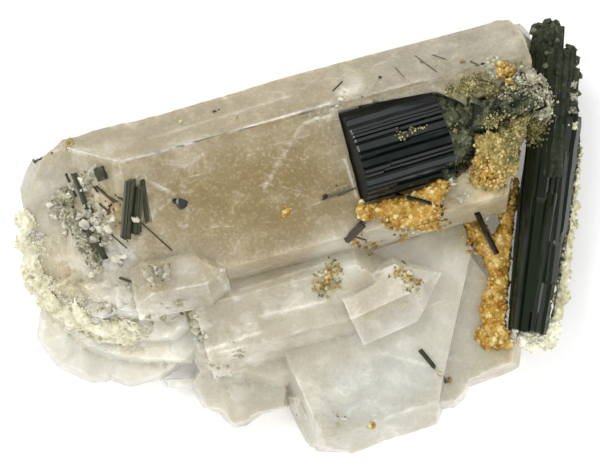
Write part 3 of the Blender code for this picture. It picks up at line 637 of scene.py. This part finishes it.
GREEN_NEEDLES = (
    (420, 350, 434, 367, 5.0), (431, 363, 447, 383, 4.4), (33, 162, 41, 158, 3.0), (40, 158, 52, 153, 2.4),
    (143, 180, 148, 222, 5.0), (139, 200, 141, 232, 3.0), (66, 174, 76, 196, 2.6), (72, 174, 85, 205, 3.0),
    (380, 77, 375, 105, 3.2), (362, 97, 359, 108, 2.0), (342, 82, 333, 91, 1.6), (324, 197, 362, 181, 4.0),
    (336, 186, 362, 176, 1.8), (464, 224, 473, 235, 4.0), (54, 196, 66, 200, 4.0), (63, 214, 73, 219, 4.0),
    (420, 62, 451, 86, 1.2), (415, 56, 436, 72, 1.0), (452, 92, 486, 100, 1.2), (448, 84, 470, 104, 1.0),
    (461, 80, 480, 74, 1.0), (444, 98, 470, 88, 1.2), (458, 108, 492, 92, 1.2), (461, 166, 467, 184, 1.0),
    (88, 178, 98, 192, 2.0), (446, 90, 492, 84, 1.0), (470, 78, 494, 84, 1.2), (180, 313, 192, 320, 1.6),
    (120, 278, 132, 282, 2.6), (318, 297, 326, 283, 1.0), (404, 262, 410, 272, 2.0), (432, 55, 446, 60, 1.0),
    (395, 68, 404, 78, 0.9), (322, 200, 350, 190, 1.6), (520, 62, 524, 74, 1.0), (470, 62, 478, 66, 1.4))
BROWN_NEEDLES = (
    (76, 176, 84, 190, 1.6), (84, 198, 92, 214, 2.2), (90, 206, 97, 226, 3.0), (98, 236, 104, 254, 4.0),
    (60, 192, 52, 200, 2.0), (108, 196, 118, 202, 1.8), (104, 216, 116, 226, 1.4), (112, 204, 108, 214, 2.2),
    (128, 214, 122, 224, 1.6), (74, 206, 68, 216, 1.6), (371, 208, 361, 227, 4.6), (363, 224, 347, 240, 8.5),
    (141, 222, 172, 250, 1.6), (96, 186, 115, 203, 2.4), (116, 195, 131, 205, 2.2), (120, 223, 135, 231, 1.6),
    (112, 235, 127, 248, 1.4), (102, 190, 112, 199, 1.6), (100, 204, 110, 213, 2.6), (338, 196, 356, 188, 1.6),
    (352, 236, 366, 240, 2.0))
green_needles, brown_needles = bmesh.new(), bmesh.new()
for bm, rods, seed in ((green_needles, GREEN_NEEDLES, 70), (brown_needles, BROWN_NEEDLES, 120)):
    for number, rod in enumerate(rods):
        needle(bm, *rod, seed + number)
brown = elbaite_material("brown_splinters", (0.035, 0.024, 0.008), (0.11, 0.075, 0.028),
                         (0.25, 0.20, 0.10), 12.0, 0.3)
add_piece("green_needles", green_needles, olive,
          ["elbaite_edge_stub", "elbaite_upper_rod", "elbaite_plate_needle"])
add_piece("brown_needles", brown_needles, brown, ["elbaite_side_rod"])


# The black specks and the small black crystal on the main face: chips and crystals of black tourmaline,
# grown on the quartz. Each is given as (u, v, width in pixels).
def add_lump(bm, layer, place, size, rng, flat=0.7, own=None):
    """Adds a faceted lump: the hull of a few points scattered on a ball, squashed to flat.

    Every point gets the lump's own value in the layer, a random one where it is None.
    """
    before = len(bm.verts)
    points = []
    for _ in range(13):
        way = Vector([rng.gauss(0, 1) for _ in range(3)]).normalized()
        points.append(bm.verts.new(place + Vector((way.x, way.y * rng.uniform(0.7, 1.0), way.z * flat)) * size))
    made = bmesh.ops.convex_hull(bm, input=points)
    loose = [item for item in made["geom_interior"] + made["geom_unused"] if isinstance(item, bmesh.types.BMVert)]
    bmesh.ops.delete(bm, geom=list(set(loose)), context="VERTS")
    bm.verts.ensure_lookup_table()
    own = rng.random() if own is None else own
    for vert in bm.verts[before:]:
        vert[layer] = own


SPECKS = (
    (215, 112, 4.5), (219, 110, 3.0), (237, 118, 2.2), (170, 124, 1.6), (482, 65, 4.5), (476, 66, 3.0),
    (488, 68, 2.4), (155, 268, 3.2), (161, 270, 3.6), (166, 268, 3.0), (158, 276, 2.2), (163, 280, 2.0),
    (170, 264, 2.0), (150, 266, 1.8), (152, 286, 2.0), (338, 417, 2.4), (300, 424, 1.8), (297, 416, 1.6),
    (345, 417, 1.8), (32, 160, 3.4), (38, 157, 2.6), (398, 276, 2.4), (362, 268, 1.6), (329, 275, 2.2),
    (450, 379, 1.8), (270, 382, 1.0), (175, 203, 2.0), (232, 120, 1.6), (70, 315, 3.2), (76, 313, 2.2),
    (34, 287, 2.2), (104, 228, 1.8), (56, 196, 3.4), (62, 199, 2.6), (68, 217, 3.4), (72, 214, 2.4),
    (110, 206, 3.2), (106, 201, 2.4), (114, 209, 2.6), (93, 196, 1.8), (86, 205, 2.4), (92, 232, 2.6),
    (97, 246, 2.2), (130, 232, 3.0), (128, 241, 2.4), (120, 229, 1.6))
rng = random.Random(61)
specks = bmesh.new()
own = specks.verts.layers.float.new("rough")
for u, v, width in SPECKS:
    place, normal = on_top(u, v)
    if place:
        add_lump(specks, own, place, width * PIXEL * 0.55, rng, 0.7, own=0.2)
place, normal = on_top(181, 203)
add_lump(specks, own, place + normal * 0.3 * MM, 1.55 * MM, random.Random(4), 0.9, own=0.0)
add_lump(specks, own, place + Vector((-1.2, 0.5, 0.0)) * MM, 0.7 * MM, rng, 0.8, own=0.1)
specks.loops.layers.uv.verify()
add_piece("black_specks", specks, black_green, ["black_crystal"], sharp_degrees=None)


# The broken blocks on the short prism's tip, on the end blocks and on the long prisms' top: dark green
# tourmaline crushed along its fractures and still in place. Each is given as (u, v, size in mm).
BLOCKS = (
    (456, 166, 2.0), (462, 158, 1.8), (450, 174, 1.6), (445, 104, 1.6), (450, 116, 2.2), (452, 132, 2.2),
    (453, 147, 2.1), (448, 160, 1.9), (444, 172, 1.4), (462, 122, 2.0), (464, 140, 1.8), (458, 108, 1.8),
    (468, 112, 1.8), (476, 104, 1.9), (470, 128, 1.5), (486, 108, 1.7), (508, 98, 1.7), (520, 100, 1.9),
    (533, 95, 1.9), (529, 106, 1.5), (497, 104, 1.3), (546, 30, 1.7), (554, 27, 1.3), (547, 42, 1.5),
    (556, 40, 1.2), (550, 52, 1.2), (547, 66, 1.0), (534, 30, 1.5), (541, 26, 1.6), (549, 23, 1.3),
    (556, 24, 1.2), (572, 47, 1.5), (577, 60, 1.3), (577, 76, 1.3), (577, 92, 1.2))
LONG_TOP_MIDDLE, LONG_TOP_SIDE = 15.5 * MM, 14 * MM  # heights at the long prisms' broken top
blocks = bmesh.new()
own = blocks.verts.layers.float.new("rough")
blocks.loops.layers.uv.verify()
for u, v, size in BLOCKS:
    place, normal = on_top(u, v, ("quartz", "short_elbaite_prism", "elbaite_end_blocks_broken",
                                  "long_elbaite_prisms"))
    if place is None or (u > 530 and v < 100 and place.z < LONG_TOP_SIDE):
        place = Vector((*in_plan(u, v), LONG_TOP_MIDDLE))
    add_lump(blocks, own, place - Vector((0, 0, size * 0.45 * MM)), size * MM, rng, 0.75,
             own=rng.uniform(0.65, 1.0))
add_piece("elbaite_tip_blocks", blocks, deep_green, sharp_degrees=None)


# The rubble in the left hollow and on the ledges: loose white quartz lumps, crumbs and chips, cemented to
# the big crystals. They are the same milky quartz, paler and rougher. Each heap is given as (u, v, reach in
# pixels, number of lumps).
LUMPS = (
    (92, 214, 4, 5), (97, 226, 5, 5), (80, 244, 4, 6), (83, 232, 4, 6), (88, 206, 5, 7), (72, 186, 4, 4),
    (56, 205, 5, 7), (60, 214, 5, 6), (53, 212, 4, 5), (66, 222, 5, 6), (64, 236, 7, 5), (90, 174, 5, 6),
    (86, 181, 5, 6), (96, 172, 4, 4), (99, 176, 4, 3), (84, 188, 4, 4), (88, 212, 7, 12), (96, 222, 8, 14),
    (104, 232, 8, 14), (95, 236, 6, 9), (82, 228, 5, 10), (80, 240, 5, 8), (86, 252, 5, 8), (94, 262, 5, 7),
    (104, 244, 5, 7), (78, 218, 5, 7), (137, 217, 2, 2), (96, 272, 7, 6), (112, 218, 4, 4), (70, 200, 6, 8),
    (60, 190, 4, 4), (150, 274, 8, 9), (165, 272, 6, 8), (130, 286, 7, 7), (118, 262, 8, 6), (322, 272, 9, 8),
    (336, 280, 9, 8), (326, 292, 9, 6), (404, 275, 9, 8), (412, 283, 9, 7), (408, 296, 9, 6), (340, 420, 9, 5),
    (180, 300, 6, 4), (236, 352, 9, 8), (222, 366, 9, 7), (40, 235, 4, 5), (110, 310, 14, 10), (84, 322, 14, 12),
    (146, 326, 14, 10), (60, 292, 10, 8), (168, 312, 10, 7), (196, 372, 10, 6), (195, 319, 5, 14),
    (199, 329, 4, 12), (204, 338, 5, 10), (486, 222, 5, 12), (460, 168, 5, 16), (450, 179, 5, 10),
    (466, 158, 4, 8), (340, 100, 16, 9), (322, 118, 12, 8), (468, 196, 8, 5))


def scattered(u, v, reach, names, rng, spread=0.5):
    """The place and normal of the highest of some pieces under a random pixel near this one."""
    return on_top(u + rng.gauss(0, reach * spread), v + rng.gauss(0, reach * spread), names)


rubble = bmesh.new()
rubble_own = rubble.verts.layers.float.new("own")
for u, v, reach, number in LUMPS:
    for _ in range(number):
        place, normal = scattered(u, v, reach, (
            "quartz", "elbaite_left_pair_crystals", "elbaite_left_blade_crystal", "elbaite_left_rod_crystal"), rng)
        if place:
            size = rng.choice((0.4, 0.55, 0.8, 1.1)) * rng.uniform(0.85, 1.15) * MM * (0.7 if reach > 8 else 1.0)
            add_lump(rubble, rubble_own, place + normal * size * 0.2, size, rng, rng.uniform(0.4, 0.8))
for v in (315, 322, 329, 336):  # blocks wedged between the corner crystal and the ledge beside it
    rim = min(on_top(u, v)[0].z for u in (185, 207))
    wedged = Vector((*in_plan(196 + (v - 315) / 6, v), rim - 1.1 * MM))
    add_lump(rubble, rubble_own, wedged, 1.8 * MM, rng, 0.9, own=0.9)
material, wire, output = new_material("white_lumps")
ground = wire.node("TexCoord", out=3)
own = attribute(wire, "own")
mist = ground.noise(700.0, 4.0, 0.6)
tone = own.blend((0.20, 0.175, 0.10), (0.54, 0.51, 0.39))
tone = (mist.step(0.4, 0.7) * 0.4).blend(tone, (0.74, 0.70, 0.57))
bump = mist.bump(0.4, 0.15)
clear = glassy(bump, (0.97, 0.96, 0.93), 0.15, QUARTZ_IOR, {"Transmission Weight": 1.0})
milk = glassy(bump, tone, (0.2 + 0.3 * mist).held(), QUARTZ_IOR, {
    "Subsurface Weight": 0.6, "Subsurface Radius": (2.0, 1.8, 1.4), "Subsurface Scale": 1.0 * MM})
show(output, wire.node("MixShader", None, {0: (0.85 + 0.2 * own).held(), 1: clear, 2: milk}))
add_piece("quartz_rubble", rubble, material, sharp_degrees=None)


# The crusts at the right end: sugary grains of a later mineral, grey-white on the ridge, orange and yellow
# round the prisms. Each crust is a lumpy bed with hundreds of separate faceted grains grown on it.
GRAIN_IOR = 1.55


def grain_material(name, colours, gloss=0.3, stops=(0.0, 0.35, 0.65, 1.0)):
    """Small glassy grains, each with its own share of the crust's colours, which go from dark to light."""
    material, wire, output = new_material(name)
    ground = wire.node("TexCoord", out=3)
    own = attribute(wire, "own")
    mottle = ground.noise(500.0, 4.0, 0.65)
    mix = own * 0.6 + mottle * 0.9 - 0.25
    tone = wire.node("ValToRGB", {"stops": list(zip(stops, colours))}, {"Fac": mix})
    bump = ground.noise(2600.0, 3.0).bump(0.4, 0.1)
    show(output, glassy(bump, tone, (gloss + 0.3 * mottle).held(), GRAIN_IOR))
    return material


shape = bmesh.new()
bmesh.ops.create_icosphere(shape, subdivisions=1, radius=1.0)
grain_shape = bpy.data.meshes.new("grain")
shape.to_mesh(grain_shape)
shape.free()


def add_grain(bm, layer, place, size, rng, own):
    """Adds one grain with its own tilt, shape and colour value."""
    turn = Euler([rng.uniform(0, math.tau) for _ in range(3)]).to_matrix().to_4x4()
    stretch = Matrix.Diagonal((size, size * rng.uniform(0.6, 1.1), size * rng.uniform(0.6, 1.0), 1.0))
    first = len(bm.verts)
    shape = grain_shape.copy()
    shape.transform(Matrix.Translation(place) @ turn @ stretch)
    bm.from_mesh(shape)
    bpy.data.meshes.remove(shape)
    bm.verts.ensure_lookup_table()
    for vert in bm.verts[first:]:
        vert[layer] = own


def strew(bm, layer, patches, names, size, rng, spread=0.5, smallest=0.4, largest=0.95, raised=0.25):
    """Strews grains over some pieces, in patches given as (u, v, reach in pixels, number).

    smallest and largest are their radii, and raised how high they stand, as shares of size and of the radius.
    """
    for u, v, reach, number in patches:
        for _ in range(number):
            place, normal = scattered(u, v, reach, names, rng, spread)
            if place:
                grain = size * rng.uniform(smallest, largest)
                add_grain(bm, layer, place + normal * grain * raised, grain, rng, rng.random())


def grown_crust(node, material, grains, size, seed, stray=(), smooth=False, lumps=0.5, sink=0.0,
                over=("quartz",), aside=(0.0, 0.0)):
    """A crust: its node's bed, cut into lumps, with grains all over it and stray grains beside it.

    grains is the number of grains on the bed, and size the radius of a large one. The bed is cut by up to
    lumps, lowered by about sink and moved in plan by aside, all in mm. stray lists (u, v, reach in pixels,
    number) of the grains that lie on the pieces named in over. smooth rounds the grains off.
    """
    rng = random.Random(seed)
    bed = fine_copy(node, lambda place: 0.6 * MM)
    own = bed.verts.layers.float.new("own")
    for vert in bed.verts:
        vert[own] = 0.5 + 0.5 * noise.noise(vert.co / (1.2 * MM))
    for vert in bed.verts:
        vert.co -= vert.normal * lumps * MM * abs(noise.noise(vert.co / (0.9 * MM)))
        vert.co.z = max(0.05 * MM, vert.co.z - sink * MM * (0.6 + noise.noise(vert.co / (2.5 * MM))))
        vert.co += Vector((*aside, 0.0)) * MM
    skin = [(face.calc_center_median(), face.normal.copy(), face.calc_area()) for face in bed.faces]
    for place, normal, _ in rng.choices(skin, weights=[patch[2] for patch in skin], k=grains):
        grain = size * rng.choice((0.45, 0.6, 0.8, 1.15)) * rng.uniform(0.8, 1.15)
        jitter = Vector([rng.uniform(-0.3, 0.3) * MM for _ in range(3)])
        add_grain(bed, own, place + jitter - normal * grain * 0.45, grain, rng, rng.random())
    strew(bed, own, stray, over, size, rng)
    name = node.replace("crust", "grains")
    add_piece(name, bed, material, [node], sharp_degrees=80 if smooth else None, recalc=False)


orange_grains = grain_material("orange_grains", (
    (0.12, 0.045, 0.004), (0.29, 0.14, 0.010), (0.42, 0.245, 0.024), (0.53, 0.43, 0.16), (0.78, 0.74, 0.52)),
    gloss=0.12, stops=(0.0, 0.3, 0.55, 0.74, 1.0))
yellow_grains = grain_material("yellow_grains", (
    (0.07, 0.052, 0.014), (0.21, 0.15, 0.035), (0.40, 0.30, 0.085), (0.74, 0.70, 0.46)))
sandy_grains = grain_material("sandy_grains", (
    (0.035, 0.036, 0.010), (0.10, 0.095, 0.026), (0.27, 0.23, 0.07), (0.66, 0.60, 0.34)))
cream_grains = grain_material("cream_grains", (
    (0.46, 0.42, 0.26), (0.66, 0.64, 0.46), (0.80, 0.79, 0.66), (0.92, 0.92, 0.88)), gloss=0.4)
rim_grains = grain_material("rim_grains", (
    (0.36, 0.32, 0.17), (0.56, 0.53, 0.36), (0.68, 0.66, 0.53), (0.80, 0.79, 0.73)), gloss=0.5)
ridge_grains = grain_material("ridge_grains", (
    (0.03, 0.03, 0.014), (0.15, 0.14, 0.08), (0.38, 0.36, 0.25), (0.78, 0.75, 0.64)))
side_grains = grain_material("side_grains", (
    (0.20, 0.19, 0.09), (0.42, 0.40, 0.23), (0.62, 0.60, 0.42), (0.85, 0.84, 0.74)))

grown_crust("crust_end_ridge", ridge_grains, 1000, 0.42 * MM, seed=54,
            over=("quartz", "elbaite_end_blocks_broken", "elbaite_tip_blocks", "long_elbaite_prisms"), stray=(
                (522, 78, 10, 160), (532, 86, 10, 200), (545, 98, 9, 130), (573, 84, 3, 40), (574, 97, 3.5, 70),
                (573, 110, 3, 60), (546, 116, 7, 80), (538, 104, 9, 60), (520, 90, 7, 60), (505, 96, 8, 50)))
grown_crust("crust_under_prism", orange_grains, 900, 0.62 * MM, seed=51,
            smooth=True, stray=(
                (372, 210, 12, 50), (400, 218, 16, 110), (432, 200, 12, 70), (358, 240, 8, 12), (373, 245, 9, 14),
                (406, 238, 5, 5), (286, 210, 3.4, 14), (285, 215, 3, 12), (442, 222, 10, 12)))
grown_crust("crust_end_yellow", yellow_grains, 1300, 0.5 * MM, seed=53,
            stray=(
                (490, 168, 18, 200), (508, 160, 9, 120), (519, 138, 6, 160), (520, 156, 6, 130),
                (512, 135, 16, 120), (463, 62, 3, 8), (334, 270, 12, 60), (324, 284, 12, 60), (398, 272, 8, 30),
                (412, 280, 10, 40), (236, 118, 2, 3), (182, 123, 2, 3), (70, 142, 4, 24)))
grown_crust("crust_orange_bridge", orange_grains, 1500, 0.62 * MM,
            seed=52, smooth=True,
            over=("quartz", "grains_end_ridge", "elbaite_end_blocks_broken", "grains_end_yellow"), stray=(
                (478, 240, 14, 70), (499, 320, 8, 30), (494, 342, 9, 34), (372, 425, 3, 6), (450, 380, 3, 4),
                (329, 276, 5, 7), (406, 276, 4, 5), (440, 374, 2, 2), (504, 72, 8, 70), (500, 66, 5, 26),
                (508, 82, 4, 16), (487, 174, 13, 110), (498, 184, 6, 30)))


# The bent rod that hangs in the orange crust below the short prism, and the wedge in the crust at the
# quartz's edge: black-green tourmaline, broken while it grew and held by the grains round it.
bent_rod = bmesh.new()
for number, (u0, v0, u1, v1, width) in enumerate((
        (406, 197, 429, 203, 3.6), (428, 203, 442, 207, 3.6), (441, 206, 442, 215, 3.6), (396, 194, 410, 199, 3.6),
        (477, 213, 486, 232, 6.0), (484, 228, 497, 254, 6.0))):
    needle(bent_rod, u0, v0, u1, v1, width, 99 + number, lift=0.35,
           names=("quartz", "grains_under_prism", "grains_orange_bridge"))
add_piece("bent_elbaite_rod", bent_rod, black_green)


# The cream crusts: fine chalky grains at the long prisms' foot, down their right side, along the quartz's
# left rim and in its left hollow, grown on the crystals last of all.
grown_crust("crust_foot", cream_grains, 700, 0.40 * MM, seed=55, lumps=1.2,
            aside=(-0.4, 1.7))
grown_crust("crust_right_side", side_grains, 1000, 0.42 * MM, seed=56,
            over=("long_elbaite_prisms",), stray=(
                (575, 126, 3, 30), (570, 240, 6, 24), (556, 300, 6, 20)))
grown_crust("crust_left_rim", rim_grains, 2600, 0.30 * MM, seed=57, lumps=1.0,
            sink=2.1, stray=(
                (32, 250, 12, 220), (45, 290, 18, 320), (80, 315, 22, 380), (120, 335, 24, 260),
                (30, 225, 8, 60)))
grown_crust("crust_left_hollow", ridge_grains, 800, 0.36 * MM, seed=58,
            lumps=0.9, sink=0.5, stray=(
                (95, 225, 16, 120), (60, 212, 8, 50), (88, 180, 8, 30)))


# The sandy olive coat over the broken blocks at the right end: the finest grains of the yellow crust, thinly
# strewn over the fractures and grown fast to them. Each patch is given as (u, v, reach in pixels, number).
sand = bmesh.new()
own = sand.verts.layers.float.new("own")
SAND = (
    (450, 92, 5, 70), (462, 86, 7, 110), (476, 84, 7, 110), (488, 88, 6, 60), (468, 94, 6, 50), (498, 92, 5, 40),
    (500, 122, 8, 170), (520, 120, 9, 190), (538, 116, 6, 130), (536, 128, 8, 200), (533, 138, 7, 130),
    (488, 122, 6, 90), (474, 136, 5, 30), (455, 130, 5, 20), (512, 86, 5, 50), (526, 132, 7, 90),
    (544, 110, 4, 40), (505, 128, 9, 200), (512, 158, 6, 120), (461, 166, 6, 40), (528, 124, 9, 200),
    (512, 142, 8, 110), (540, 126, 5, 50), (402, 136, 5, 18), (414, 132, 5, 16), (424, 128, 3, 6))
strew(sand, own, SAND, ("quartz", "elbaite_end_blocks_broken", "elbaite_tip_blocks", "short_elbaite_prism",
                        "long_elbaite_prisms", "grains_end_yellow"),
      MM, rng, spread=0.6, smallest=0.14, largest=0.34, raised=0.4)
add_piece("sandy_coat", sand, sandy_grains, sharp_degrees=None, recalc=False)


# The setting: a white sheet under the specimen, large soft lamps above it on both sides, and the camera
# straight above it with a long lens.
SHEET_GAP = 0.0002       # the sheet lies this far below the specimen, so that no two faces share a plane
CAMERA_HEIGHT = 2.2
MIDDLE_HEIGHT = 20 * MM  # the height on the specimen where the photograph's scale holds
SENSOR_WIDTH = 36.0
sheet = bmesh.new()
bmesh.ops.create_grid(sheet, x_segments=2, y_segments=2, size=5.0)
floor = finish_piece("floor", sheet)
material, wire, output = new_material("white_paper")
paper = wire.node("TexCoord", out=3).noise(40.0, 2.0)
show(output, wire.node("BsdfPrincipled", None, {
    "Base Color": paper.blend((0.96, 0.96, 0.96), (0.975, 0.975, 0.975)), "Roughness": 0.9,
    "Specular IOR Level": 0.1}))
floor.data.materials.append(material)
floor.location.z = -SHEET_GAP

# The room is white at its walls and greyer overhead, where the camera hangs
world = bpy.data.worlds.new("soft_room")
bpy.context.scene.world = world
world.use_nodes = True
world.node_tree.nodes.clear()
room = Wire(world.node_tree)
height = room.node("SeparateXYZ", None, {"Vector": room.node("TexCoord", out=0)}, out=2)
sky = height.step(0.70, 0.95).blend((1.0, 1.0, 1.0), (0.26, 0.27, 0.28))
back = room.node("Background", None, {"Color": sky, "Strength": 1.0})
show(world.node_tree.nodes.new("ShaderNodeOutputWorld"), back)


def soft_lamp(name, place, size, watts, colour):
    """Hangs a round soft lamp at a place, turned to the specimen."""
    lamp = bpy.data.lights.new(name, "AREA")
    lamp.shape, lamp.size, lamp.energy, lamp.color = "DISK", size, watts, colour
    held = bpy.data.objects.new(name, lamp)
    bpy.context.scene.collection.objects.link(held)
    held.location = place
    held.rotation_mode = "QUATERNION"
    held.rotation_quaternion = (-Vector(place)).to_track_quat("-Z", "Y")
    return held


soft_lamp("window", (-0.55, 0.65, 1.00), 0.9, 11.5, (1.0, 0.99, 0.97))
fill = soft_lamp("fill", (0.45, -0.70, 1.00), 1.8, 12.0, (0.98, 0.985, 1.0))
fill.visible_glossy = False

camera = bpy.data.objects.new("camera", bpy.data.cameras.new("camera"))
bpy.context.scene.collection.objects.link(camera)
camera.location = (SHIFT, -0.1 * MM, CAMERA_HEIGHT)
camera.data.sensor_width = SENSOR_WIDTH
camera.data.lens = SENSOR_WIDTH * (CAMERA_HEIGHT - MIDDLE_HEIGHT) / (PICTURE_WIDTH * PIXEL)
camera.data.clip_end = 20.0
bpy.context.scene.camera = camera
bpy.context.scene.view_settings.view_transform = "Standard"
